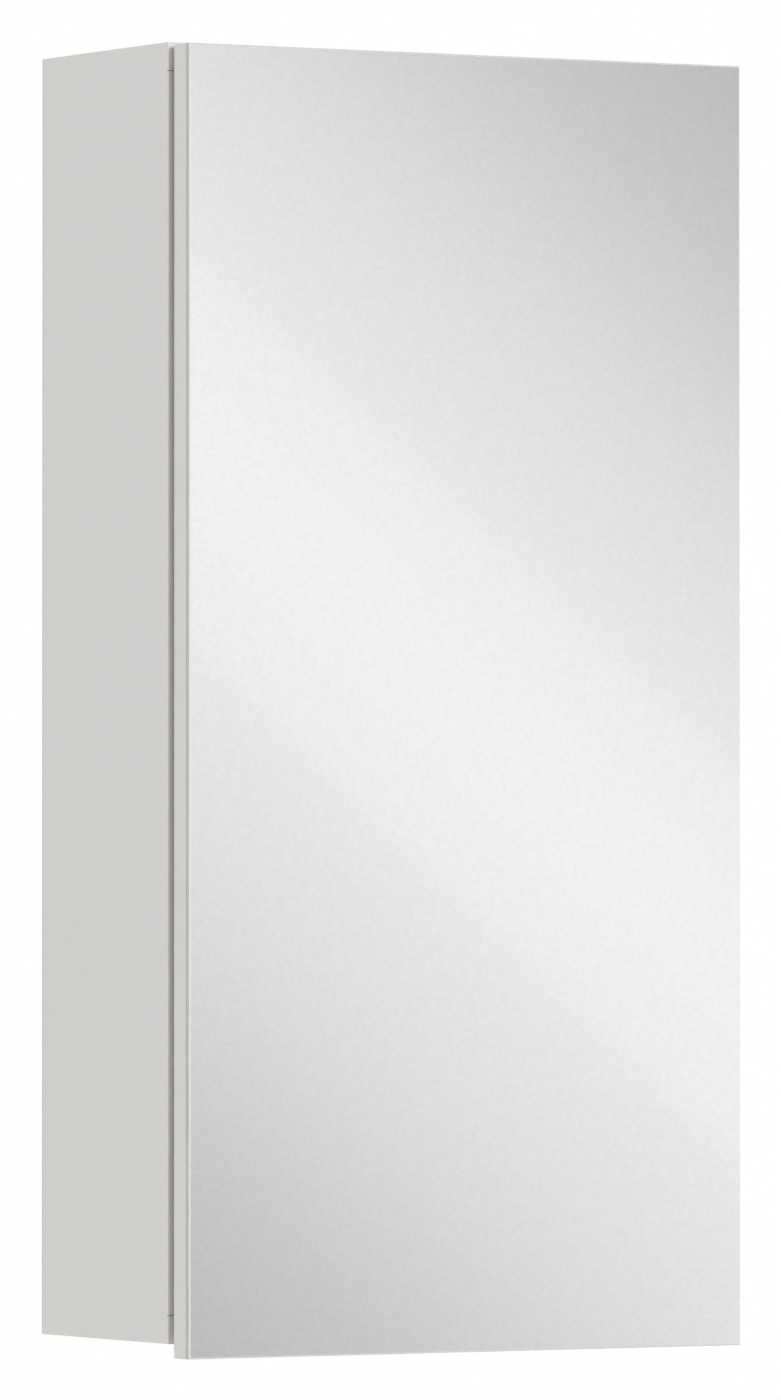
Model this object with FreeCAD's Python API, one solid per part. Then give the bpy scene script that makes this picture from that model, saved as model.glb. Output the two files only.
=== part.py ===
import FreeCAD
import Part
import math
import os

# Wall-hung mirror cabinet with one overlay door, in millimetres
# X runs to the right, Y runs to the wall and Z runs up
# The origin lies on the wall plane, midway between the two keyhole entrances

# Cabinet body
body_width = 300.0
body_depth = 124.0
body_height = 600.0
board_thickness = 13.0
hanging_drop = 45.0

# Edge bands on the front of the four boards
band_thickness = 1.0
band_seam = 0.4

# Splines across the four mitres
spline_width = 9.0
spline_thickness = 3.0
spline_front_inset = 14.0
spline_rear_inset = 22.0
spline_clearance = 0.1

# Back panel in its grooves
back_thickness = 3.0
back_groove_depth = 6.0
back_groove_clearance = 0.2
back_end_clearance = 0.5

# Hanging rail behind the back panel
rail_thickness = 12.0
rail_height = 60.0
dowel_diameter = 6.0
dowel_in_board = 9.0
dowel_in_rail = 19.0
dowel_edge_distance = 15.0
dowel_clearance = 0.05
dowel_end_clearance = 0.5

# Keyhole plates let into the rail
keyhole_end_distance = 37.0
keyhole_entrance_diameter = 10.0
keyhole_slot_width = 5.0
keyhole_slot_rise = 10.0
keyhole_plate_thickness = 1.5
keyhole_plate_width = 24.0
keyhole_plate_below = 20.0
keyhole_plate_above = 26.0
keyhole_plate_corner = 3.0
keyhole_plate_clearance = 0.1
keyhole_screw_end_distance = 6.0
keyhole_pocket_width = 14.0
keyhole_pocket_depth = 8.0
keyhole_pocket_margin = 2.0

# Small countersunk screws of the keyhole plates, hinge cups and catch
small_screw_head_diameter = 6.4
small_screw_head_height = 1.7
small_screw_diameter = 3.5
small_screw_length = 9.5

# Countersunk screws of the hinge mounting plates
plate_screw_head_diameter = 8.6
plate_screw_head_height = 2.0
plate_screw_diameter = 5.0
plate_screw_length = 11.0

# Shared by all countersunk screws
screw_clearance = 0.1
screw_tip_clearance = 0.5
screw_tip_share = 0.2
recess_reach_share = 0.6
recess_width_share = 0.17
recess_depth_share = 0.7

# Glass shelves
shelf_thickness = 5.0
shelf_front_setback = 7.5
shelf_end_clearance = 1.0
shelf_back_clearance = 1.5
shelf_arris = 0.4
lower_shelf_pin_height = 185.0
shelf_pitch_count = 6

# Shelf pins and the rows of holes that take them
pin_hole_diameter = 5.0
pin_hole_depth = 9.0
pin_hole_pitch = 32.0
pin_hole_count_each_way = 2
pin_front_setback = 37.0
pin_rear_setback = 8.0
pin_shank_length = 8.5
pin_clearance = 0.05
pin_tongue_length = 8.0
pin_tongue_width = 8.0
pin_tongue_thickness = 3.0
pin_tongue_corner = 2.0
pad_diameter = 6.5
pad_thickness = 1.2

# Door
door_side_inset = 1.5
door_top_inset = 1.4
door_bottom_overhang = 6.4
door_core_thickness = 12.0
door_gap = 2.5
door_arris = 0.5
mirror_thickness = 3.0
mirror_bevel = 0.5

# Soft bumpers on the back of the door
bumper_diameter = 8.0
bumper_clearance = 0.3
bumper_edge_distance = 6.5
bumper_end_distance = 25.0
bumper_round = 0.8

# Hinge cups
hinge_end_distance = 95.0
cup_diameter = 26.0
cup_bore_depth = 10.5
cup_edge_distance = 2.8
cup_clearance = 0.1
cup_wall = 0.5
cup_floor = 0.6
cup_rim_lip = 1.0
cup_flange_thickness = 1.0
cup_wing_width = 11.0
cup_wing_length = 48.0
cup_wing_corner = 4.0
cup_screw_spacing = 38.0
cup_screw_offset = 6.5

# Hinge pins and the arms that turn on them
hinge_pin_diameter = 2.0
hinge_pin_length = 14.0
hinge_pin_fit = 0.02
hinge_pin_edge_distance = 6.0
eye_diameter = 3.8
eye_running_clearance = 0.05
eye_floor_clearance = 0.3
eye_width = 6.0
eye_tongue_length = 3.0
arm_thickness = 1.8
arm_neck_width = 9.0
arm_side_clearance = 0.3
arm_lip_clearance = 0.5
arm_bend_radius = 1.6
arm_channel_width = 15.0
arm_channel_setback = 6.0
arm_channel_length = 54.0
arm_channel_corner = 3.0
arm_flange_thickness = 1.2
arm_slot_length = 9.0
arm_slot_clearance = 0.2

# Hinge mounting plates on the right side panel
mounting_plate_setback = 12.0
mounting_plate_length = 46.0
mounting_wing_width = 14.0
mounting_wing_end = 7.0
mounting_wing_thickness = 2.5
mounting_wing_corner = 4.0
mounting_hole_spacing = 32.0

# Machine screws that hold and set the hinge arms
arm_screw_head_diameter = 7.4
arm_screw_head_height = 2.2
arm_screw_diameter = 4.0
arm_screw_reach = 3.6
arm_screw_setback = 49.0
arm_screw_clearance = 0.05
arm_screw_round = 0.6
setting_screw_diameter = 5.0
setting_screw_height = 0.9
setting_screw_setback = 22.0
setting_slot_width = 0.9
setting_slot_depth = 0.7

# Magnetic catch on the left side panel and its strike plate
catch_height = 60.0
catch_front_setback = 0.5
catch_block_width = 12.0
catch_block_depth = 16.0
catch_block_height = 26.0
catch_ear_thickness = 3.0
catch_ear_length = 10.0
catch_round = 0.8
magnet_width = 5.0
magnet_depth = 12.0
magnet_height = 18.0
magnet_recess = 1.0
pole_thickness = 1.2
pole_clearance = 0.3
strike_thickness = 1.2
strike_width = 13.0
strike_corner = 2.0
magnet_clearance = 0.05

# Overrun of every cut, and how the edges to round are picked
cut_overrun = 2.0
edge_tolerance = 0.01
parallel_share = 0.999

# Places worked out from the sizes above
half_width = body_width / 2
inner_half_width = half_width - board_thickness
body_top = hanging_drop
body_bottom = body_top - body_height
inner_top = body_top - board_thickness
inner_bottom = body_bottom + board_thickness
body_front = -body_depth
board_front = body_front + band_thickness
back_rear = -rail_thickness
back_front = back_rear - back_thickness
rail_bottom = inner_top - rail_height
half_door = half_width - door_side_inset
door_top = body_top - door_top_inset
door_bottom = body_bottom - door_bottom_overhang
door_back = body_front - door_gap
core_front = door_back - door_core_thickness
mirror_front = core_front - mirror_thickness
hinge_heights = (door_top - hinge_end_distance, door_bottom + hinge_end_distance)
lower_pin_z = inner_bottom + lower_shelf_pin_height
upper_pin_z = lower_pin_z + shelf_pitch_count * pin_hole_pitch
pin_rows = (body_front + pin_front_setback, back_front - pin_rear_setback)
cup_radius = cup_diameter / 2
cup_x = half_door - cup_edge_distance - cup_radius
cup_wing_x = cup_x - cup_screw_offset
cup_bottom = door_back - cup_bore_depth + cup_clearance
cup_floor_y = cup_bottom + cup_floor
eye_radius = eye_diameter / 2
hinge_x = half_door - hinge_pin_edge_distance
hinge_y = cup_floor_y + eye_floor_clearance + eye_radius
lip_radius = math.hypot(hinge_pin_edge_distance, door_back - hinge_y)
arm_outer_x = hinge_x - lip_radius - arm_lip_clearance
arm_inner_x = arm_outer_x - arm_thickness
arm_front = hinge_y - eye_radius
channel_front = body_front + arm_channel_setback
channel_rear = channel_front + arm_channel_length
mounting_front = body_front + mounting_plate_setback
mounting_rear = mounting_front + mounting_plate_length
mounting_hole_y = body_front + pin_front_setback
arm_screw_y = body_front + arm_screw_setback
setting_screw_y = body_front + setting_screw_setback
catch_x = -inner_half_width + catch_block_width / 2
catch_z = inner_bottom + catch_height
catch_front = body_front + catch_front_setback
catch_screw_offset = catch_block_height / 2 + catch_ear_length / 2
pole_front = door_back + strike_thickness + pole_clearance
bumper_x = -half_door + bumper_edge_distance
bumper_heights = (body_top - bumper_end_distance, body_bottom + bumper_end_distance)


# Plain shapes that the pieces are made of, and the edges picked from them
def box(x0, x1, y0, y1, z0, z1):
    return Part.makeBox(x1 - x0, y1 - y0, z1 - z0, FreeCAD.Vector(x0, y0, z0))


def rod(radius, start, end):
    start = FreeCAD.Vector(*start)
    line = FreeCAD.Vector(*end) - start
    return Part.makeCylinder(radius, line.Length, start, line)


def placed(shape, point, direction):
    turn = FreeCAD.Rotation(FreeCAD.Vector(0, 0, 1), FreeCAD.Vector(*direction))
    shape.Placement = FreeCAD.Placement(FreeCAD.Vector(*point), turn)
    return shape


def group(solids):
    return Part.makeCompound(list(solids))


def rounded(shape, radius, chosen):
    edges = [edge for edge in shape.Edges if chosen(edge)]
    return shape.makeFillet(radius, edges)


def parallel(edge, axis):
    if edge.Curve.TypeId != "Part::GeomLine":
        return False
    run = edge.Vertexes[-1].Point - edge.Vertexes[0].Point
    return abs(getattr(run, axis)) > run.Length * parallel_share


def at(value, place):
    return abs(value - place) < edge_tolerance


# Countersunk screws, with the head's face at the point and the head towards the direction
def countersunk_screw(point, direction, head_diameter, head_height, diameter, length):
    radius = diameter / 2
    tip = length * screw_tip_share
    head = Part.makeCone(radius, head_diameter / 2, head_height, FreeCAD.Vector(0, 0, -head_height))
    shank = rod(radius, (0, 0, -head_height), (0, 0, tip - length))
    point_cone = Part.makeCone(0, radius, tip, FreeCAD.Vector(0, 0, -length))
    screw = head.fuse([shank, point_cone]).removeSplitter()
    reach = head_diameter / 2 * recess_reach_share
    half = head_diameter / 2 * recess_width_share
    depth = head_height * recess_depth_share
    one = box(-reach, reach, -half, half, -depth, cut_overrun)
    other = box(-half, half, -reach, reach, -depth, cut_overrun)
    return placed(screw.cut(one.fuse(other)), point, direction)


def countersunk_hole(point, direction, head_diameter, head_height, diameter, length):
    radius = diameter / 2 + screw_clearance
    cone = Part.makeCone(diameter / 2, head_diameter / 2, head_height,
                         FreeCAD.Vector(0, 0, -head_height))
    bore = rod(radius, (0, 0, 0), (0, 0, -length - screw_tip_clearance))
    mouth = rod(head_diameter / 2, (0, 0, 0), (0, 0, cut_overrun))
    return placed(cone.fuse([bore, mouth]), point, direction)


def small_screw(point, direction):
    return countersunk_screw(point, direction, small_screw_head_diameter, small_screw_head_height,
                             small_screw_diameter, small_screw_length)


def small_screw_hole(point, direction):
    return countersunk_hole(point, direction, small_screw_head_diameter, small_screw_head_height,
                            small_screw_diameter, small_screw_length)


def plate_screw(point, direction):
    return countersunk_screw(point, direction, plate_screw_head_diameter, plate_screw_head_height,
                             plate_screw_diameter, plate_screw_length)


def plate_screw_hole(point, direction):
    return countersunk_hole(point, direction, plate_screw_head_diameter, plate_screw_head_height,
                            plate_screw_diameter, plate_screw_length)


# Boards of the body, mitred at the four corners
def mitred_board(corners):
    points = [FreeCAD.Vector(x, board_front, z) for x, z in corners]
    face = Part.Face(Part.makePolygon(points + points[:1]))
    board = face.extrude(FreeCAD.Vector(0, -board_front, 0))
    return board.cut([back_groove()] + [spline(sx, sz, spline_clearance) for sx, sz in corner_signs()])


def corner_signs():
    return [(sx, sz) for sx in (-1, 1) for sz in (-1, 1)]


def spline(sx, sz, clearance):
    half = spline_width / 2 + clearance
    thick = spline_thickness / 2 + clearance
    front = board_front + spline_front_inset - clearance
    rear = -spline_rear_inset + clearance
    strip = box(-half, half, front, rear, -thick, thick)
    middle_z = (body_top if sz > 0 else body_bottom) - sz * board_thickness / 2
    middle = FreeCAD.Vector(sx * (half_width - board_thickness / 2), 0, middle_z)
    turn = FreeCAD.Rotation(FreeCAD.Vector(1, 0, 0), FreeCAD.Vector(sz, 0, -sx))
    strip.Placement = FreeCAD.Placement(middle, turn)
    return strip


def back_groove():
    reach = inner_half_width + back_groove_depth
    return box(-reach, reach, back_front - back_groove_clearance, back_rear,
               inner_bottom - back_groove_depth, inner_top + back_groove_depth)


def side_board(sign):
    outer = sign * half_width
    inner = sign * inner_half_width
    board = mitred_board([(outer, body_bottom), (outer, body_top),
                          (inner, inner_top), (inner, inner_bottom)])
    mouth = inner - sign * cut_overrun
    end = inner + sign * pin_hole_depth
    holes = [rod(pin_hole_diameter / 2, (mouth, y, z), (end, y, z))
             for y in pin_rows for z in pin_hole_heights()]
    holes += [dowel(sign, z, dowel_clearance, dowel_end_clearance) for z in dowel_heights()]
    return board.cut(holes)


def pin_hole_heights():
    steps = range(-pin_hole_count_each_way, pin_hole_count_each_way + 1)
    return [z + step * pin_hole_pitch for z in (lower_pin_z, upper_pin_z) for step in steps]


def left_side_panel():
    return side_board(-1).cut([small_screw_hole(point, (1, 0, 0)) for point in catch_screw_points()])


def right_side_panel():
    return side_board(1).cut([plate_screw_hole(point, (-1, 0, 0)) for point in mounting_screw_points()])


def top_panel():
    return mitred_board([(-half_width, body_top), (half_width, body_top),
                         (inner_half_width, inner_top), (-inner_half_width, inner_top)])


def bottom_panel():
    return mitred_board([(-half_width, body_bottom), (half_width, body_bottom),
                         (inner_half_width, inner_bottom), (-inner_half_width, inner_bottom)])


def corner_splines():
    return group(spline(sx, sz, 0) for sx, sz in corner_signs())


def back_panel():
    margin = back_groove_depth - back_end_clearance
    reach = inner_half_width + margin
    return box(-reach, reach, back_front, back_rear, inner_bottom - margin, inner_top + margin)


# Front edge bands, the level ones over the full width and the upright ones between them
def level_band(low):
    return box(-half_width, half_width, body_front, board_front, low, low + board_thickness)


def upright_band(left):
    return box(left, left + board_thickness, body_front, board_front,
               inner_bottom + band_seam, inner_top - band_seam)


# Hanging rail with its dowels, keyhole plates and screws
def dowel_heights():
    return (inner_top - dowel_edge_distance, rail_bottom + dowel_edge_distance)


def dowel(sign, z, clearance, end_clearance):
    start = (sign * (inner_half_width - dowel_in_rail - end_clearance), -rail_thickness / 2, z)
    end = (sign * (inner_half_width + dowel_in_board + end_clearance), -rail_thickness / 2, z)
    return rod(dowel_diameter / 2 + clearance, start, end)


def rail_dowels():
    return group(dowel(sign, z, 0, 0) for sign in (-1, 1) for z in dowel_heights())


def keyhole_centres():
    reach = inner_half_width - keyhole_end_distance
    return (-reach, reach)


def keyhole_plate_blank(x, clearance):
    half = keyhole_plate_width / 2 + clearance
    blank = box(x - half, x + half, -keyhole_plate_thickness, 0,
                -keyhole_plate_below - clearance, keyhole_plate_above + clearance)
    return rounded(blank, keyhole_plate_corner + clearance, lambda edge: parallel(edge, "y"))


def keyhole_screw_points(x):
    return [(x, 0, keyhole_screw_end_distance - keyhole_plate_below),
            (x, 0, keyhole_plate_above - keyhole_screw_end_distance)]


def keyhole_plate(x):
    plate = keyhole_plate_blank(x, 0)
    front = -keyhole_plate_thickness - cut_overrun
    half = keyhole_slot_width / 2
    entrance = rod(keyhole_entrance_diameter / 2, (x, front, 0), (x, cut_overrun, 0))
    slot = box(x - half, x + half, front, cut_overrun, 0, keyhole_slot_rise)
    slot_end = rod(half, (x, front, keyhole_slot_rise), (x, cut_overrun, keyhole_slot_rise))
    screws = [small_screw_hole(point, (0, 1, 0)) for point in keyhole_screw_points(x)]
    return plate.cut([entrance.fuse([slot, slot_end])] + screws)


def keyhole_plate_screws():
    return group(small_screw(point, (0, 1, 0))
                 for x in keyhole_centres() for point in keyhole_screw_points(x))


def hanging_rail():
    rail = box(-inner_half_width, inner_half_width, back_rear, 0, rail_bottom, inner_top)
    cuts = [dowel(sign, z, dowel_clearance, dowel_end_clearance)
            for sign in (-1, 1) for z in dowel_heights()]
    half = keyhole_pocket_width / 2
    floor = -keyhole_plate_thickness - keyhole_pocket_depth
    low = -keyhole_entrance_diameter / 2 - keyhole_pocket_margin
    high = keyhole_slot_rise + keyhole_slot_width / 2 + keyhole_pocket_margin
    for x in keyhole_centres():
        cuts.append(keyhole_plate_blank(x, keyhole_plate_clearance))
        cuts.append(box(x - half, x + half, floor, 0, low, high))
        cuts += [small_screw_hole(point, (0, 1, 0)) for point in keyhole_screw_points(x)]
    return rail.cut(cuts)


# Glass shelves, their pins and the soft pads between
def shelf(pin_z):
    bottom = pin_z + pin_hole_diameter / 2 + pad_thickness
    reach = inner_half_width - shelf_end_clearance
    rear = back_front - shelf_back_clearance
    pane = box(-reach, reach, body_front + shelf_front_setback, rear, bottom, bottom + shelf_thickness)
    return pane.makeChamfer(shelf_arris, pane.Edges)


def pin_places():
    return [(sign, y, z) for z in (lower_pin_z, upper_pin_z) for sign in (-1, 1) for y in pin_rows]


def shelf_pin(sign, y, z):
    inner = sign * inner_half_width
    radius = pin_hole_diameter / 2 - pin_clearance
    shank = rod(radius, (inner, y, z), (inner + sign * pin_shank_length, y, z))
    end = inner - sign * pin_tongue_length
    near, far = sorted((inner, end))
    top = z + pin_hole_diameter / 2
    half = pin_tongue_width / 2
    tongue = box(near, far, y - half, y + half, top - pin_tongue_thickness, top)
    tongue = rounded(tongue, pin_tongue_corner,
                     lambda edge: parallel(edge, "z") and at(edge.CenterOfMass.x, end))
    return shank.fuse(tongue).removeSplitter()


def shelf_pins():
    return group(shelf_pin(sign, y, z) for sign, y, z in pin_places())


def shelf_pad(sign, y, z):
    x = sign * (inner_half_width - pin_tongue_length / 2)
    base = z + pin_hole_diameter / 2
    return rod(pad_diameter / 2, (x, y, base), (x, y, base + pad_thickness))


def shelf_pads():
    return group(shelf_pad(sign, y, z) for sign, y, z in pin_places())


# Door core with its bores, the mirror on its front and the bumpers on its back
def door_panel():
    core = box(-half_door, half_door, core_front, door_back, door_bottom, door_top)
    core = rounded(core, door_arris, lambda edge: at(edge.CenterOfMass.y, door_back))
    mouth = door_back + cut_overrun
    floor = door_back - cup_bore_depth
    cuts = [rod(cup_radius, (cup_x, mouth, z), (cup_x, floor, z)) for z in hinge_heights]
    cuts += [small_screw_hole(point, (0, 1, 0)) for z in hinge_heights for point in cup_screw_points(z)]
    cuts += [small_screw_hole(point, (0, 1, 0)) for point in strike_screw_points()]
    return core.cut(cuts)


def mirror_glass():
    pane = box(-half_door, half_door, mirror_front, core_front, door_bottom, door_top)
    front = [edge for edge in pane.Edges if at(edge.CenterOfMass.y, mirror_front)]
    return pane.makeChamfer(mirror_bevel, front)


def door_bumper(z):
    rear = body_front - bumper_clearance
    disc = rod(bumper_diameter / 2, (bumper_x, door_back, z), (bumper_x, rear, z))
    return rounded(disc, bumper_round, lambda edge: at(edge.CenterOfMass.y, rear))


def door_bumpers():
    return group(door_bumper(z) for z in bumper_heights)


# Hinge cups in the door, each with a pocket for the arm and a pin across it
def cup_screw_points(z):
    half = cup_screw_spacing / 2
    return [(cup_wing_x, door_back + cup_flange_thickness, z + side * half) for side in (-1, 1)]


def hinge_cup(z):
    rear = door_back + cup_flange_thickness
    barrel = rod(cup_radius - cup_clearance, (cup_x, rear, z), (cup_x, cup_bottom, z))
    rim = rod(cup_radius + cup_rim_lip, (cup_x, rear, z), (cup_x, door_back, z))
    half = cup_wing_width / 2
    tall = cup_wing_length / 2
    wing = box(cup_wing_x - half, cup_wing_x + half, door_back, rear, z - tall, z + tall)
    wing = rounded(wing, cup_wing_corner, lambda edge: parallel(edge, "y"))
    cup = barrel.fuse([rim, wing]).removeSplitter()
    pin_hole = rod(hinge_pin_diameter / 2 + hinge_pin_fit, (hinge_x, hinge_y, z - cup_diameter),
                   (hinge_x, hinge_y, z + cup_diameter))
    screws = [small_screw_hole(point, (0, 1, 0)) for point in cup_screw_points(z)]
    return cup.cut([cup_pocket(z), pin_hole] + screws)


def cup_pocket(z):
    half = arm_neck_width / 2 + arm_side_clearance
    reach = math.hypot(hinge_x - arm_inner_x, eye_radius) + eye_floor_clearance
    rear = door_back + cup_flange_thickness + cut_overrun
    slot = box(hinge_x - reach, cup_x + cup_diameter, cup_floor_y, rear, z - half, z + half)
    inside = rod(cup_radius - cup_clearance - cup_wall, (cup_x, rear, z), (cup_x, cup_floor_y, z))
    return slot.common(inside)


def hinge_pin(z):
    half = hinge_pin_length / 2
    return rod(hinge_pin_diameter / 2, (hinge_x, hinge_y, z - half), (hinge_x, hinge_y, z + half))


def hinge_pins():
    return group(hinge_pin(z) for z in hinge_heights)


def hinge_cup_screws():
    return group(small_screw(point, (0, 1, 0))
                 for z in hinge_heights for point in cup_screw_points(z))


# Hinge arms, one bent strip each, from the eye in the cup to the channel on the side panel
def hinge_arm(z):
    eye_half = eye_width / 2
    neck_half = arm_neck_width / 2
    channel_half = arm_channel_width / 2
    flange_reach = arm_outer_x + mounting_height() - mounting_wing_thickness - arm_side_clearance
    neck_x = hinge_x - eye_tongue_length
    bar_rear = arm_front + arm_thickness
    eye = rod(eye_radius, (hinge_x, hinge_y, z - eye_half), (hinge_x, hinge_y, z + eye_half))
    tongue = box(neck_x, hinge_x, arm_front, bar_rear, z - eye_half, z + eye_half)
    bar = box(arm_inner_x, neck_x, arm_front, bar_rear, z - neck_half, z + neck_half)
    leg = box(arm_inner_x, arm_outer_x, arm_front, channel_front, z - neck_half, z + neck_half)
    web = box(arm_inner_x, arm_outer_x, channel_front, channel_rear, z - channel_half, z + channel_half)
    hook = rounded(bar.fuse(leg).removeSplitter(), arm_bend_radius,
                   lambda edge: parallel(edge, "z") and at(edge.CenterOfMass.x, arm_inner_x)
                   and at(edge.CenterOfMass.y, arm_front))
    web = rounded(web, arm_channel_corner, lambda edge: parallel(edge, "x"))
    flange_front = channel_front + arm_channel_corner
    flange_rear = channel_rear - arm_channel_corner
    flange_inside = channel_half - arm_flange_thickness
    flanges = [box(arm_inner_x, flange_reach, flange_front, flange_rear,
                   *sorted((z + side * channel_half, z + side * flange_inside)))
               for side in (-1, 1)]
    arm = hook.fuse([eye, tongue, web] + flanges).removeSplitter()
    return arm.cut([eye_bore(z), arm_slot(z), setting_hole(z)])


def mounting_height():
    return inner_half_width - arm_outer_x


def eye_bore(z):
    radius = hinge_pin_diameter / 2 + eye_running_clearance
    return rod(radius, (hinge_x, hinge_y, z - eye_width), (hinge_x, hinge_y, z + eye_width))


def arm_slot(z):
    radius = arm_screw_diameter / 2 + arm_slot_clearance
    half = arm_slot_length / 2 - radius
    near = arm_inner_x - cut_overrun
    far = arm_outer_x + cut_overrun
    middle = box(near, far, arm_screw_y - half, arm_screw_y + half, z - radius, z + radius)
    ends = [rod(radius, (near, arm_screw_y + side * half, z), (far, arm_screw_y + side * half, z))
            for side in (-1, 1)]
    return middle.fuse(ends)


def setting_hole(z):
    radius = setting_screw_diameter / 2 + arm_screw_clearance
    return rod(radius, (arm_inner_x - cut_overrun, setting_screw_y, z),
               (arm_outer_x + cut_overrun, setting_screw_y, z))


# Mounting plates on the side panel, with a raised middle under the arm and a wing each way
def mounting_screw_points():
    half = mounting_hole_spacing / 2
    x = inner_half_width - mounting_wing_thickness
    return [(x, mounting_hole_y, z + side * half) for z in hinge_heights for side in (-1, 1)]


def hinge_mounting_plate(z):
    middle_half = arm_channel_width / 2 - arm_flange_thickness - arm_side_clearance
    middle = box(arm_outer_x, inner_half_width, mounting_front, mounting_rear,
                 z - middle_half, z + middle_half)
    tall = mounting_hole_spacing / 2 + mounting_wing_end
    half = mounting_wing_width / 2
    wing = box(inner_half_width - mounting_wing_thickness, inner_half_width,
               mounting_hole_y - half, mounting_hole_y + half, z - tall, z + tall)
    wing = rounded(wing, mounting_wing_corner, lambda edge: parallel(edge, "x"))
    radius = arm_screw_diameter / 2 + arm_screw_clearance
    thread_end = arm_outer_x + arm_screw_reach + screw_tip_clearance
    thread = rod(radius, (arm_outer_x - cut_overrun, arm_screw_y, z), (thread_end, arm_screw_y, z))
    screws = [plate_screw_hole(point, (-1, 0, 0)) for point in mounting_screw_points()]
    return middle.fuse(wing).removeSplitter().cut([thread] + screws)


def mounting_plate_screws():
    return group(plate_screw(point, (-1, 0, 0)) for point in mounting_screw_points())


def hinge_arm_screw(z):
    head = rod(arm_screw_head_diameter / 2, (0, 0, 0), (0, 0, arm_screw_head_height))
    head = rounded(head, arm_screw_round, lambda edge: at(edge.CenterOfMass.z, arm_screw_head_height))
    shank = rod(arm_screw_diameter / 2, (0, 0, 0), (0, 0, -arm_thickness - arm_screw_reach))
    reach = arm_screw_head_diameter / 2 * recess_reach_share
    half = arm_screw_head_diameter / 2 * recess_width_share
    floor = arm_screw_head_height * (1 - recess_depth_share)
    top = arm_screw_head_height + cut_overrun
    one = box(-reach, reach, -half, half, floor, top)
    other = box(-half, half, -reach, reach, floor, top)
    screw = head.fuse(shank).removeSplitter().cut(one.fuse(other))
    return placed(screw, (arm_inner_x, arm_screw_y, z), (-1, 0, 0))


def hinge_arm_screws():
    return group(hinge_arm_screw(z) for z in hinge_heights)


def hinge_setting_screw(z):
    face = arm_inner_x - setting_screw_height
    screw = rod(setting_screw_diameter / 2, (arm_outer_x, setting_screw_y, z), (face, setting_screw_y, z))
    half = setting_slot_width / 2
    slot = box(face - cut_overrun, face + setting_slot_depth, setting_screw_y - setting_screw_diameter,
               setting_screw_y + setting_screw_diameter, z - half, z + half)
    return screw.cut(slot)


def hinge_setting_screws():
    return group(hinge_setting_screw(z) for z in hinge_heights)


# Magnetic catch on the left side panel
def catch_screw_points():
    x = -inner_half_width + catch_ear_thickness
    y = catch_front + catch_block_depth / 2
    return [(x, y, catch_z + side * catch_screw_offset) for side in (-1, 1)]


def catch_housing():
    rear = catch_front + catch_block_depth
    half = catch_block_height / 2
    ear_half = half + catch_ear_length
    seat = -inner_half_width
    face = seat + catch_block_width
    block = box(seat, face, catch_front, rear, catch_z - half, catch_z + half)
    block = rounded(block, catch_round, lambda edge: at(edge.CenterOfMass.x, face))
    ears = box(seat, seat + catch_ear_thickness, catch_front, rear,
               catch_z - ear_half, catch_z + ear_half)
    screws = [small_screw_hole(point, (1, 0, 0)) for point in catch_screw_points()]
    return block.fuse(ears).removeSplitter().cut([magnet_pocket()] + screws)


def magnet_pocket():
    half = magnet_width / 2 + pole_thickness + magnet_clearance
    tall = magnet_height / 2 + magnet_clearance
    return box(catch_x - half, catch_x + half, catch_front - cut_overrun,
               magnet_rear() + magnet_clearance, catch_z - tall, catch_z + tall)


def magnet_rear():
    return catch_front + magnet_recess + magnet_depth


def catch_magnet():
    half = magnet_width / 2
    return box(catch_x - half, catch_x + half, catch_front + magnet_recess, magnet_rear(),
               catch_z - magnet_height / 2, catch_z + magnet_height / 2)


def catch_pole_plates():
    half = magnet_width / 2
    tall = magnet_height / 2
    outside = half + pole_thickness
    return group(box(*sorted((catch_x + side * half, catch_x + side * outside)),
                     pole_front, magnet_rear(), catch_z - tall, catch_z + tall) for side in (-1, 1))


def catch_screws():
    return group(small_screw(point, (1, 0, 0)) for point in catch_screw_points())


# Strike plate on the back of the door
def strike_screw_points():
    y = door_back + strike_thickness
    return [(catch_x, y, catch_z + side * catch_screw_offset) for side in (-1, 1)]


def strike_plate():
    half = strike_width / 2
    tall = catch_screw_offset + catch_ear_length / 2
    plate = box(catch_x - half, catch_x + half, door_back, door_back + strike_thickness,
                catch_z - tall, catch_z + tall)
    plate = rounded(plate, strike_corner, lambda edge: parallel(edge, "y"))
    return plate.cut([small_screw_hole(point, (0, 1, 0)) for point in strike_screw_points()])


def strike_plate_screws():
    return group(small_screw(point, (0, 1, 0)) for point in strike_screw_points())


# The sub-parts by name
upper_hinge, lower_hinge = hinge_heights
left_keyhole, right_keyhole = keyhole_centres()

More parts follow.
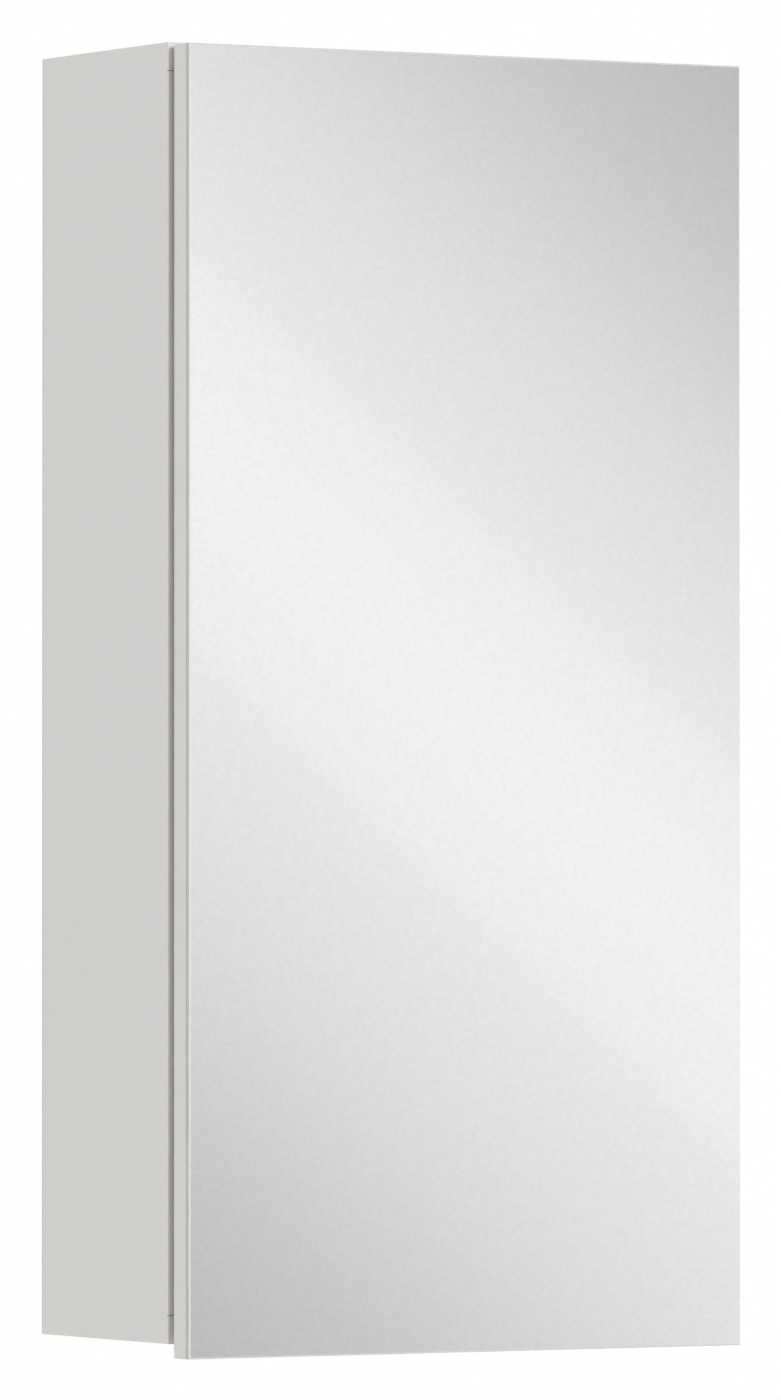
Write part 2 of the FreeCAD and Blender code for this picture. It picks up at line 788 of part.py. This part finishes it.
nodes = {
    "left_side_panel": left_side_panel(),
    "right_side_panel": right_side_panel(),
    "top_panel": top_panel(),
    "bottom_panel": bottom_panel(),
    "corner_splines": corner_splines(),
    "front_edge_band_top": level_band(inner_top),
    "front_edge_band_bottom": level_band(body_bottom),
    "front_edge_band_left": upright_band(-half_width),
    "front_edge_band_right": upright_band(inner_half_width),
    "back_panel": back_panel(),
    "hanging_rail": hanging_rail(),
    "rail_dowels": rail_dowels(),
    "keyhole_plate_left": keyhole_plate(left_keyhole),
    "keyhole_plate_right": keyhole_plate(right_keyhole),
    "keyhole_plate_screws": keyhole_plate_screws(),
    "upper_shelf": shelf(upper_pin_z),
    "lower_shelf": shelf(lower_pin_z),
    "shelf_pins": shelf_pins(),
    "shelf_pads": shelf_pads(),
    "upper_hinge_mounting_plate": hinge_mounting_plate(upper_hinge),
    "lower_hinge_mounting_plate": hinge_mounting_plate(lower_hinge),
    "mounting_plate_screws": mounting_plate_screws(),
    "upper_hinge_arm": hinge_arm(upper_hinge),
    "lower_hinge_arm": hinge_arm(lower_hinge),
    "hinge_arm_screws": hinge_arm_screws(),
    "hinge_setting_screws": hinge_setting_screws(),
    "catch_housing": catch_housing(),
    "catch_magnet": catch_magnet(),
    "catch_pole_plates": catch_pole_plates(),
    "catch_screws": catch_screws(),
    "door_panel": door_panel(),
    "mirror_glass": mirror_glass(),
    "door_bumpers": door_bumpers(),
    "upper_hinge_cup": hinge_cup(upper_hinge),
    "lower_hinge_cup": hinge_cup(lower_hinge),
    "hinge_pins": hinge_pins(),
    "hinge_cup_screws": hinge_cup_screws(),
    "strike_plate": strike_plate(),
    "strike_plate_screws": strike_plate_screws(),
}

# One STEP file for each sub-part
os.makedirs("parts", exist_ok=True)
for name, shape in nodes.items():
    shape.exportStep("parts/" + name + ".step")
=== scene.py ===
import bpy
import math
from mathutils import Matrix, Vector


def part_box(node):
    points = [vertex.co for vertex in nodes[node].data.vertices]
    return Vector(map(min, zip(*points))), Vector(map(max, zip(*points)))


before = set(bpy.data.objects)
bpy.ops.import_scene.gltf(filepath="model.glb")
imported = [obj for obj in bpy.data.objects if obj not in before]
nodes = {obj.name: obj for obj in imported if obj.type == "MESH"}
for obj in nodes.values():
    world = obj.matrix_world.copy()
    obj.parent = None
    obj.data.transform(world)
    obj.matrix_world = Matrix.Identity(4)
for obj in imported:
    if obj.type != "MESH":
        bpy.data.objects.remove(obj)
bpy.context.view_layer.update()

# The view: a camera to the left front of the cabinet, far away behind a long lens.
# It stands at the height of the cabinet's lower half and looks up by a little under one degree.
picture_height = 1400
focal_pixels = 10746.5
looking_up = 0.014911
turned_right = 0.518963
camera_data = bpy.data.cameras.new("camera")
camera_data.sensor_width = 36.0
camera_data.lens = camera_data.sensor_width * focal_pixels / picture_height
camera_data.clip_end = 100.0
camera = bpy.data.objects.new("camera", camera_data)
camera.location = (-2.51620, -4.47297, -0.33229)
camera.rotation_euler = (math.pi / 2 + looking_up, 0.0, -turned_right)
bpy.context.scene.collection.objects.link(camera)
bpy.context.scene.camera = camera
bpy.context.scene.view_settings.view_transform = "Standard"

# The room: even light from all round in front of a white backdrop.
# Polished faces see soft slanting light panels in it, pale in the middle and greyer between,
# and one of them lies where the mirror shows its slanting bright band in the photograph.
room_light = 0.30
room_white = (1.0, 1.0, 1.0, 1.0)
panel_slope = 0.95
panel_middle = 29.44
panels_around = 28
panel_half_width = panel_slope * 360.0 / panels_around / 2
two_turns = 720.0
panel_fading = (
    (0.0, 0.943), (0.08, 0.926), (0.18, 0.877), (0.5, 0.707), (0.84, 0.521), (0.94, 0.479), (1.0, 0.471),
)
room = bpy.data.worlds.new("soft_white_room")
room.use_nodes = True
bpy.context.scene.world = room
tree = room.node_tree
tree.nodes.clear()


def add_node(tree, kind, inputs=(), **settings):
    """One shader node, with its settings and its inputs: sockets are linked, values are written in."""
    node = tree.nodes.new(kind)
    for name, value in settings.items():
        setattr(node, name, value)
    for name, value in dict(inputs).items():
        if isinstance(value, bpy.types.NodeSocket):
            tree.links.new(value, node.inputs[name])
        else:
            node.inputs[name].default_value = value
    return node


def sums(tree, operation, first, second=0.0, third=0.0):
    """One step of arithmetic on sockets or numbers."""
    return add_node(tree, "ShaderNodeMath", {0: first, 1: second, 2: third}, operation=operation).outputs[0]


def parts_of(tree, vector):
    """The X, Y and Z of a vector socket, by name."""
    return add_node(tree, "ShaderNodeSeparateXYZ", {"Vector": vector}).outputs


def blended(tree, factor, first, second):
    """The shaded surface or light between two others."""
    return add_node(tree, "ShaderNodeMixShader", {0: factor, 1: first, 2: second}).outputs[0]


def glow(tree, colour, strength):
    """Light of one colour from a direction of the room."""
    return add_node(tree, "ShaderNodeBackground", {"Color": colour, "Strength": strength}).outputs[0]


axes = parts_of(tree, add_node(tree, "ShaderNodeTexCoord").outputs["Generated"])
sideways = sums(tree, "ARCTAN2", axes["X"], sums(tree, "MULTIPLY", axes["Y"], -1.0))
upward = sums(tree, "ARCSINE", axes["Z"])
across = sums(tree, "MULTIPLY_ADD", sideways, panel_slope, upward)
degrees = sums(tree, "MULTIPLY_ADD", across, math.degrees(1.0), two_turns * panel_slope - panel_middle)
offset = sums(tree, "PINGPONG", degrees, panel_half_width)
panels = add_node(tree, "ShaderNodeValToRGB", {"Fac": sums(tree, "DIVIDE", offset, panel_half_width)})
ramp = panels.color_ramp
ramp.interpolation = "CARDINAL"
while len(ramp.elements) < len(panel_fading):
    ramp.elements.new(0.5)
for element, (share_of_half, strength) in zip(ramp.elements, panel_fading):
    element.position = share_of_half
    element.color = (strength, strength, strength, 1.0)
seen = add_node(tree, "ShaderNodeLightPath").outputs
even_or_panels = blended(
    tree, seen["Is Glossy Ray"], glow(tree, room_white, room_light), glow(tree, panels.outputs["Color"], 1.0)
)
straight_on = sums(tree, "MAXIMUM", seen["Is Camera Ray"], seen["Is Transmission Ray"])
backdrop = blended(tree, straight_on, even_or_panels, glow(tree, room_white, 1.0))
add_node(tree, "ShaderNodeOutputWorld", {"Surface": backdrop})

# The lamps: four large soft squares, in front, at both sides and behind, a little above the cabinet.
# None shows in the mirror. The front and left ones give the faces in the photograph their brightness.
cabinet_middle = (0.0, -0.07, -0.25)


def soft_lamp(name, place, size, share):
    """A square lamp that faces the cabinet: share is how much of full white it adds there."""
    data = bpy.data.lights.new(name, "AREA")
    lamp = bpy.data.objects.new(name, data)
    run = [a - b for a, b in zip(place, cabinet_middle)]
    reach = math.sqrt(sum(step * step for step in run))
    data.size = size
    data.energy = share * math.pi ** 2 * reach ** 2
    lamp.location = place
    lamp.rotation_euler = (math.acos(run[2] / reach), 0.0, math.atan2(run[1], run[0]) + math.pi / 2)
    lamp.visible_glossy = False
    bpy.context.scene.collection.objects.link(lamp)


soft_lamp("front_lamp", (0.55, -3.3, 0.9), size=1.4, share=0.60)
soft_lamp("left_lamp", (-2.9, -0.1, 0.9), size=1.6, share=0.345)
soft_lamp("right_lamp", (2.9, -0.1, 0.9), size=1.6, share=0.26)
soft_lamp("rear_lamp", (0.9, 2.6, 1.4), size=1.6, share=0.30)

# The floor: a pale round floor below the hung cabinet, which fades out into the white backdrop.
# From below it is clear, so the underside of the cabinet can be seen.
floor_height = -0.80
floor_radius = 4.0
floor_corners = 96
floor_fades_from = 0.9
floor_fades_to = 0.95 * floor_radius
floor_pale = (0.85, 0.85, 0.845, 1.0)
turns = [2 * math.pi * i / floor_corners for i in range(floor_corners)]
rim = [(floor_radius * math.cos(t), floor_radius * math.sin(t), floor_height) for t in turns]
floor_mesh = bpy.data.meshes.new("floor")
floor_mesh.from_pydata(rim, [], [list(range(floor_corners))])
floor = bpy.data.objects.new("floor", floor_mesh)
floor.visible_glossy = False
bpy.context.scene.collection.objects.link(floor)
floor_finish = bpy.data.materials.new("pale_floor")
floor_finish.use_nodes = True
tree = floor_finish.node_tree
tree.nodes.clear()
place = add_node(tree, "ShaderNodeTexCoord").outputs["Object"]
flat = add_node(tree, "ShaderNodeVectorMath", {0: place, 1: (1.0, 1.0, 0.0)}, operation="MULTIPLY").outputs[0]
distance = add_node(tree, "ShaderNodeVectorMath", {0: flat}, operation="LENGTH").outputs["Value"]
fading = {"Value": distance, "From Min": floor_fades_from, "From Max": floor_fades_to}
fade = add_node(tree, "ShaderNodeMapRange", fading, interpolation_type="SMOOTHSTEP").outputs[0]
pale = add_node(tree, "ShaderNodeBsdfDiffuse", {"Color": floor_pale}).outputs[0]
clear = add_node(tree, "ShaderNodeBsdfTransparent").outputs[0]
see_through = sums(tree, "MAXIMUM", fade, add_node(tree, "ShaderNodeNewGeometry").outputs["Backfacing"])
add_node(tree, "ShaderNodeOutputMaterial", {"Surface": blended(tree, see_through, pale, clear)})
floor_mesh.materials.append(floor_finish)

# The body: four fibreboards wrapped in warm-white satin foil, mitred and glued at the corners.
# The foil leaves the sawn edges bare at the wall. At the front they are primed grey and closed
# with 1 mm bands, so grey shows in the fine seams between the bands.
wall_edge = -0.0004
front_edge = -0.12295
foil_light = (0.816, 0.798, 0.781, 1.0)
foil_deep = (0.788, 0.771, 0.754, 1.0)
foil_gloss = 0.45
foil_roughness = 0.42
gloss_patches = 160.0
smooth_patch = 0.37
rough_patch = 0.47
cloud_scale = 9.0
fleck_scale = 400.0
fleck_share = 0.75
peel_scale = 1100.0
peel_depth = 0.00001
fibre_scale = 900.0
primer_grey = (0.40, 0.395, 0.385, 1.0)
fibre_light = (0.50, 0.345, 0.205, 1.0)
fibre_dark = (0.30, 0.190, 0.100, 1.0)
band_light = (0.804, 0.788, 0.772, 1.0)
band_deep = (0.776, 0.761, 0.745, 1.0)


def new_finish(name, colour, roughness, **values):
    """A material with one principled shader: colour, roughness and other values the same all over."""
    material = bpy.data.materials.new(name)
    material.use_nodes = True
    shader = material.node_tree.nodes["Principled BSDF"]
    shader.inputs["Base Color"].default_value = colour
    shader.inputs["Roughness"].default_value = roughness
    for key, value in values.items():
        shader.inputs[key.replace("_", " ")].default_value = value
    return material, material.node_tree, shader


def on_piece(tree):
    """The place on the piece itself, in metres."""
    return add_node(tree, "ShaderNodeTexCoord").outputs["Object"]


def grain(tree, scale, detail=2.0, stretch=(1.0, 1.0, 1.0), roughness=0.5):
    """Noise on the piece: scale is its cells per metre, stretch what each axis is multiplied by."""
    place = add_node(tree, "ShaderNodeMapping", {"Vector": on_piece(tree), "Scale": stretch}).outputs[0]
    cells = {"Vector": place, "Scale": scale, "Detail": detail, "Roughness": roughness}
    return add_node(tree, "ShaderNodeTexNoise", cells).outputs["Fac"]


def ranged(tree, value, low, high, start=0.3, end=0.7):
    """The value's range from start to end, carried to low and high."""
    limits = {"Value": value, "From Min": start, "From Max": end, "To Min": low, "To Max": high}
    return add_node(tree, "ShaderNodeMapRange", limits).outputs[0]


def mixed(tree, factor, first, second):
    """A colour between two colours or sockets."""
    return add_node(tree, "ShaderNodeMix", {0: factor, 6: first, 7: second}, data_type="RGBA").outputs[2]


def relief(tree, shader, height, depth):
    """Bumps of a depth in metres, from a height between 0 and 1."""
    bump = add_node(tree, "ShaderNodeBump", {"Height": height, "Distance": depth, "Strength": 1.0})
    tree.links.new(bump.outputs[0], shader.inputs["Normal"])


def foil_finish(name, light, deep):
    """Satin foil: faint clouds and flecks of colour, uneven gloss and a fine orange-peel surface."""
    material, tree, shader = new_finish(name, light, foil_roughness, Specular_IOR_Level=foil_gloss)
    clouds = ranged(tree, grain(tree, cloud_scale, detail=4.0), 0.0, 1.0 - fleck_share)
    flecks = ranged(tree, grain(tree, fleck_scale, detail=1.0), 0.0, fleck_share, 0.35, 0.65)
    cloud = mixed(tree, sums(tree, "ADD", clouds, flecks), light, deep)
    tree.links.new(cloud, shader.inputs["Base Color"])
    uneven = ranged(tree, grain(tree, gloss_patches, detail=3.0), smooth_patch, rough_patch)
    tree.links.new(uneven, shader.inputs["Roughness"])
    relief(tree, shader, grain(tree, peel_scale), depth=peel_depth)
    return material, tree, shader, cloud


def fibre_colour(tree):
    """Sawn fibreboard: short pale and dark fibres."""
    fibres = grain(tree, fibre_scale, detail=6.0, stretch=(1.0, 1.0, 0.55), roughness=0.7)
    return mixed(tree, ranged(tree, fibres, 0.0, 1.0, 0.35, 0.65), fibre_light, fibre_dark)


def dress(material, *names):
    """Gives CAD nodes one finish."""
    for name in names:
        nodes[name].data.materials.clear()
        nodes[name].data.materials.append(material)


board_foil, tree, shader, cloud = foil_finish("white_foil_on_fibreboard", foil_light, foil_deep)
depth = parts_of(tree, on_piece(tree))["Y"]
wrapped = mixed(tree, sums(tree, "LESS_THAN", depth, front_edge), cloud, primer_grey)
sawn = sums(tree, "GREATER_THAN", depth, wall_edge)
tree.links.new(mixed(tree, sawn, wrapped, fibre_colour(tree)), shader.inputs["Base Color"])
dress(board_foil, "left_side_panel", "right_side_panel", "top_panel", "bottom_panel")
band_plastic = foil_finish("white_edge_band", band_light, band_deep)[0]
dress(band_plastic, *["front_edge_band_" + side for side in ("top", "bottom", "left", "right")])

# The splines and dowels: planed beech, glued into the mitres and the ends of the hanging rail.
# Long pale pores run along the strips, which stay hidden in the joints.
beech_light = (0.56, 0.36, 0.20, 1.0)
beech_deep = (0.42, 0.25, 0.13, 1.0)
along_strip = (1.0, 0.06, 1.0)
beech, tree, shader = new_finish("planed_beech", beech_light, 0.6)
pores = ranged(tree, grain(tree, fibre_scale, detail=4.0, stretch=along_strip), 0.0, 1.0)
tree.links.new(mixed(tree, pores, beech_light, beech_deep), shader.inputs["Base Color"])
relief(tree, shader, pores, depth=0.00003)
dress(beech, "corner_splines", "rail_dowels")

# The back panel: thin hardboard in a groove, white and smooth inside the cabinet.
# Its side to the wall is left brown, with the fine weave of the press mesh.
white_side = -0.0125
mesh_pitch = 0.0022
hardboard_light = (0.36, 0.235, 0.135, 1.0)
hardboard_dark = (0.22, 0.135, 0.072, 1.0)
bare_roughness = 0.8
mesh_depth = 0.00012
back_board, tree, shader, cloud = foil_finish("white_faced_hardboard", foil_light, foil_deep)
sides = parts_of(tree, on_piece(tree))
bare = sums(tree, "GREATER_THAN", sides["Y"], white_side)
flecks = grain(tree, 500.0, detail=6.0, stretch=(1.0, 1.0, 0.7), roughness=0.7)
brown = mixed(tree, ranged(tree, flecks, 0.0, 1.0, 0.35, 0.65), hardboard_light, hardboard_dark)
tree.links.new(mixed(tree, bare, cloud, brown), shader.inputs["Base Color"])
tree.links.new(ranged(tree, bare, foil_roughness, bare_roughness, 0.0, 1.0), shader.inputs["Roughness"])
wire_turns = 2 * math.pi / mesh_pitch
wires = [sums(tree, "SINE", sums(tree, "MULTIPLY", sides[axis], wire_turns)) for axis in ("X", "Z")]
crossing = sums(tree, "MULTIPLY_ADD", sums(tree, "MULTIPLY", wires[0], wires[1]), 0.5, 0.5)
relief(tree, shader, sums(tree, "MULTIPLY", crossing, bare), depth=mesh_depth)
dress(back_board, "back_panel")

# The hanging rail: sanded fibreboard, glued and dowelled behind the back panel.
# It carries the cabinet on two pressed steel keyhole plates, each held by two small screws.
zinc_light = (0.60, 0.63, 0.67, 1.0)
zinc_deep = (0.50, 0.53, 0.58, 1.0)
polish_scale = 2200.0
polish_share = 0.3
polish_depth = 0.000006
raw_board, tree, shader = new_finish("sanded_fibreboard", fibre_light, 0.85)
tree.links.new(fibre_colour(tree), shader.inputs["Base Color"])
relief(tree, shader, grain(tree, fibre_scale, detail=6.0), depth=0.00004)
dress(raw_board, "hanging_rail")


def metal_finish(name, light, deep, smooth, rough, spangle, polish=(1.0, 1.0, 1.0)):
    """Plated metal: patches, spangle to a metre, uneven in colour and gloss, under fine polishing lines."""
    material, tree, shader = new_finish(name, light, smooth, Metallic=1.0)
    patches = ranged(tree, grain(tree, spangle, detail=3.0), 0.0, 1.0)
    lines = grain(tree, polish_scale, stretch=polish)
    tree.links.new(mixed(tree, patches, light, deep), shader.inputs["Base Color"])
    plating = sums(tree, "MULTIPLY", patches, 1.0 - polish_share)
    uneven = sums(tree, "MULTIPLY_ADD", lines, polish_share, plating)
    tree.links.new(ranged(tree, uneven, smooth, rough, 0.2, 0.8), shader.inputs["Roughness"])
    relief(tree, shader, lines, depth=polish_depth)
    return material


zinc = metal_finish("zinc_plated_steel", zinc_light, zinc_deep, smooth=0.24, rough=0.42, spangle=260.0)
dress(zinc, "keyhole_plate_left", "keyhole_plate_right", "keyhole_plate_screws")

# The shelves: clear float glass with ground edges, laid on the pads of the pins.
# The glass itself is faintly green, which shows where light runs along it to an edge.
sheet_slant = 0.9
sheet_clear = (0.96, 0.99, 0.98, 1.0)
edge_green = (0.36, 0.66, 0.55, 1.0)
edge_pale = (0.46, 0.74, 0.64, 1.0)
glass_depths = (0.70, 0.95, 0.86, 1.0)
face_roughness = 0.01
ground_smooth = 0.22
ground_rough = 0.32
edge_clearness = 0.45
glass, tree, shader = new_finish("clear_shelf_glass", sheet_clear, face_roughness, IOR=1.52)


def outward(tree):
    """The direction that the face points in."""
    return parts_of(tree, add_node(tree, "ShaderNodeNewGeometry").outputs["True Normal"])


edge = sums(tree, "LESS_THAN", sums(tree, "ABSOLUTE", outward(tree)["Z"]), sheet_slant)
ground = grain(tree, 2600.0, detail=3.0, stretch=(0.35, 0.35, 1.0))
green = mixed(tree, ranged(tree, ground, 0.0, 1.0), edge_green, edge_pale)
tree.links.new(mixed(tree, edge, sheet_clear, green), shader.inputs["Base Color"])
matt = sums(tree, "MULTIPLY", edge, ranged(tree, ground, ground_smooth, ground_rough))
tree.links.new(sums(tree, "MAXIMUM", face_roughness, matt), shader.inputs["Roughness"])
tree.links.new(ranged(tree, edge, 1.0, edge_clearness, 0.0, 1.0), shader.inputs["Transmission Weight"])
inside = add_node(tree, "ShaderNodeVolumeAbsorption", {"Color": glass_depths, "Density": 9.0})
tree.links.new(inside.outputs[0], tree.nodes["Material Output"].inputs["Volume"])
dress(glass, "upper_shelf", "lower_shelf")

# The shelf pins: turned and milled steel, nickel plated, pushed into the drilled rows.
# Clear soft pads on their flat tongues keep the glass from sliding.
nickel_light = (0.70, 0.68, 0.64, 1.0)
nickel_deep = (0.62, 0.60, 0.56, 1.0)
pad_clear = (0.90, 0.92, 0.93, 1.0)
nickel = metal_finish(
    "nickel_plated_steel", nickel_light, nickel_deep, smooth=0.16, rough=0.30, spangle=120.0
)
dress(nickel, "shelf_pins")
soft_clear, tree, shader = new_finish(
    "clear_soft_plastic", pad_clear, 0.3, Transmission_Weight=0.75, IOR=1.45
)
tree.links.new(ranged(tree, grain(tree, 700.0, detail=3.0), 0.22, 0.40), shader.inputs["Roughness"])
relief(tree, shader, grain(tree, 1200.0), depth=0.00002)
dress(soft_clear, "shelf_pads")

# The hinges: zinc castings and bent steel strip, all nickel plated.
# The winged plates are screwed to the right side, the arms are clamped on them and hook into the cups.
cast_light = (0.66, 0.64, 0.61, 1.0)
cast_deep = (0.56, 0.545, 0.52, 1.0)
strip_light = (0.72, 0.70, 0.66, 1.0)
strip_deep = (0.64, 0.62, 0.59, 1.0)
cast_nickel = metal_finish(
    "nickel_plated_casting", cast_light, cast_deep, smooth=0.26, rough=0.42, spangle=420.0
)
rolled_nickel = metal_finish(
    "nickel_plated_strip", strip_light, strip_deep, smooth=0.15, rough=0.28, spangle=140.0,
    polish=(1.0, 0.05, 1.0),
)
for level in ("upper", "lower"):
    dress(cast_nickel, level + "_hinge_mounting_plate", level + "_hinge_cup")
    dress(rolled_nickel, level + "_hinge_arm")
dress(rolled_nickel, "hinge_pins")
dress(nickel, "mounting_plate_screws", "hinge_arm_screws", "hinge_setting_screws", "hinge_cup_screws")

# The catch: a white moulded housing on the left side, with a dark magnet between two steel plates.
# The plates' ends meet the strike plate on the door and hold it shut.
moulded_light = (0.81, 0.81, 0.795, 1.0)
moulded_deep = (0.785, 0.785, 0.765, 1.0)
ferrite_dark = (0.028, 0.027, 0.029, 1.0)
ferrite_grey = (0.055, 0.053, 0.055, 1.0)
moulded, tree, shader = new_finish("white_moulded_plastic", moulded_light, 0.45)
flow = ranged(tree, grain(tree, 60.0, detail=3.0), 0.0, 1.0)
tree.links.new(mixed(tree, flow, moulded_light, moulded_deep), shader.inputs["Base Color"])
relief(tree, shader, grain(tree, 2600.0), depth=0.00002)
dress(moulded, "catch_housing")
ferrite, tree, shader = new_finish("dark_ferrite", ferrite_dark, 0.55)
sinter = ranged(tree, grain(tree, 1500.0, detail=4.0), 0.0, 1.0)
tree.links.new(mixed(tree, sinter, ferrite_dark, ferrite_grey), shader.inputs["Base Color"])
dress(ferrite, "catch_magnet")
dress(zinc, "catch_pole_plates", "catch_screws", "strike_plate", "strike_plate_screws")

# The door: a fibreboard core lacquered the same warm white, with the mirror glued all over its front.
# It hangs a little below the body, and that lower edge is the grip.
door_lacquer = foil_finish("white_lacquer_on_fibreboard", foil_light, foil_deep)[0]
dress(door_lacquer, "door_panel")
dress(soft_clear, "door_bumpers")

# The mirror: 3 mm silvered glass, cut to the size of the core, its front edges seamed on a belt.
# The face is polished and the seam half polished. The seam's paler upright edges are painted light, its
# greyer top and bottom edges are painted shade, and the cut edge is grey.
# The belt's scratches run a little way past the seam's bevel, and the silvering has a faint fine grain.
silver_line = -0.1393
silver_blur = 0.0005
seam_width = 0.0007
face_slant = 0.95
seam_slant = 0.3
silver_light = (0.943, 0.943, 0.943, 1.0)
silver_deep = (0.910, 0.910, 0.910, 1.0)
# The upright seams' paler colour is painted light, and the level seams' greyer colour is painted shade.
seam_pale_painted_light = (0.79, 0.78, 0.77, 1.0)
seam_grey_painted_shade = (0.70, 0.69, 0.68, 1.0)
cut_grey = (0.57, 0.56, 0.545, 1.0)
cut_dark = (0.38, 0.38, 0.37, 1.0)
cut_bright = (0.72, 0.725, 0.71, 1.0)
cut_roughness = 0.36
mirror_roughness = 0.015
grinding = (1.0, 1.0, 0.2)
mirror, tree, shader = new_finish("silvered_mirror_glass", silver_light, mirror_roughness)
low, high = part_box("mirror_glass")
middle_height = (high[2] + low[2]) / 2
place = parts_of(tree, on_piece(tree))
to_side = sums(tree, "SUBTRACT", high[0], sums(tree, "ABSOLUTE", place["X"]))
from_middle = sums(tree, "ABSOLUTE", sums(tree, "SUBTRACT", place["Z"], middle_height))
to_end = sums(tree, "SUBTRACT", high[2] - middle_height, from_middle)
past_seam = sums(tree, "GREATER_THAN", sums(tree, "MINIMUM", to_side, to_end), seam_width)
facing = sums(tree, "ABSOLUTE", outward(tree)["Y"])
face = sums(tree, "MULTIPLY", sums(tree, "GREATER_THAN", facing, face_slant), past_seam)
seam = sums(tree, "GREATER_THAN", facing, seam_slant)
# Painted light and shade: the upright seams are paler and the top and bottom seams greyer, for how the lamps
# fall on them.
seam_painted_light_and_shade = mixed(tree, sums(tree, "LESS_THAN", to_end, to_side), seam_pale_painted_light, seam_grey_painted_shade)
speckle = ranged(tree, grain(tree, 450.0, detail=1.0), 0.0, 1.0, 0.35, 0.65)
silver = mixed(tree, speckle, silver_light, silver_deep)
streaks = ranged(tree, grain(tree, 300.0, detail=4.0, stretch=grinding), 0.0, 0.35)
toward_silver = ranged(tree, place["Y"], 0.0, 1.0, silver_line, silver_line + silver_blur)
cut = mixed(tree, toward_silver, mixed(tree, streaks, cut_grey, cut_bright), cut_dark)
tree.links.new(mixed(tree, face, mixed(tree, seam, cut, seam_painted_light_and_shade), silver), shader.inputs["Base Color"])
tree.links.new(face, shader.inputs["Metallic"])
polished = sums(tree, "ADD", face, seam)
tree.links.new(ranged(tree, polished, cut_roughness, mirror_roughness, 0.0, 2.0), shader.inputs["Roughness"])
dress(mirror, "mirror_glass")
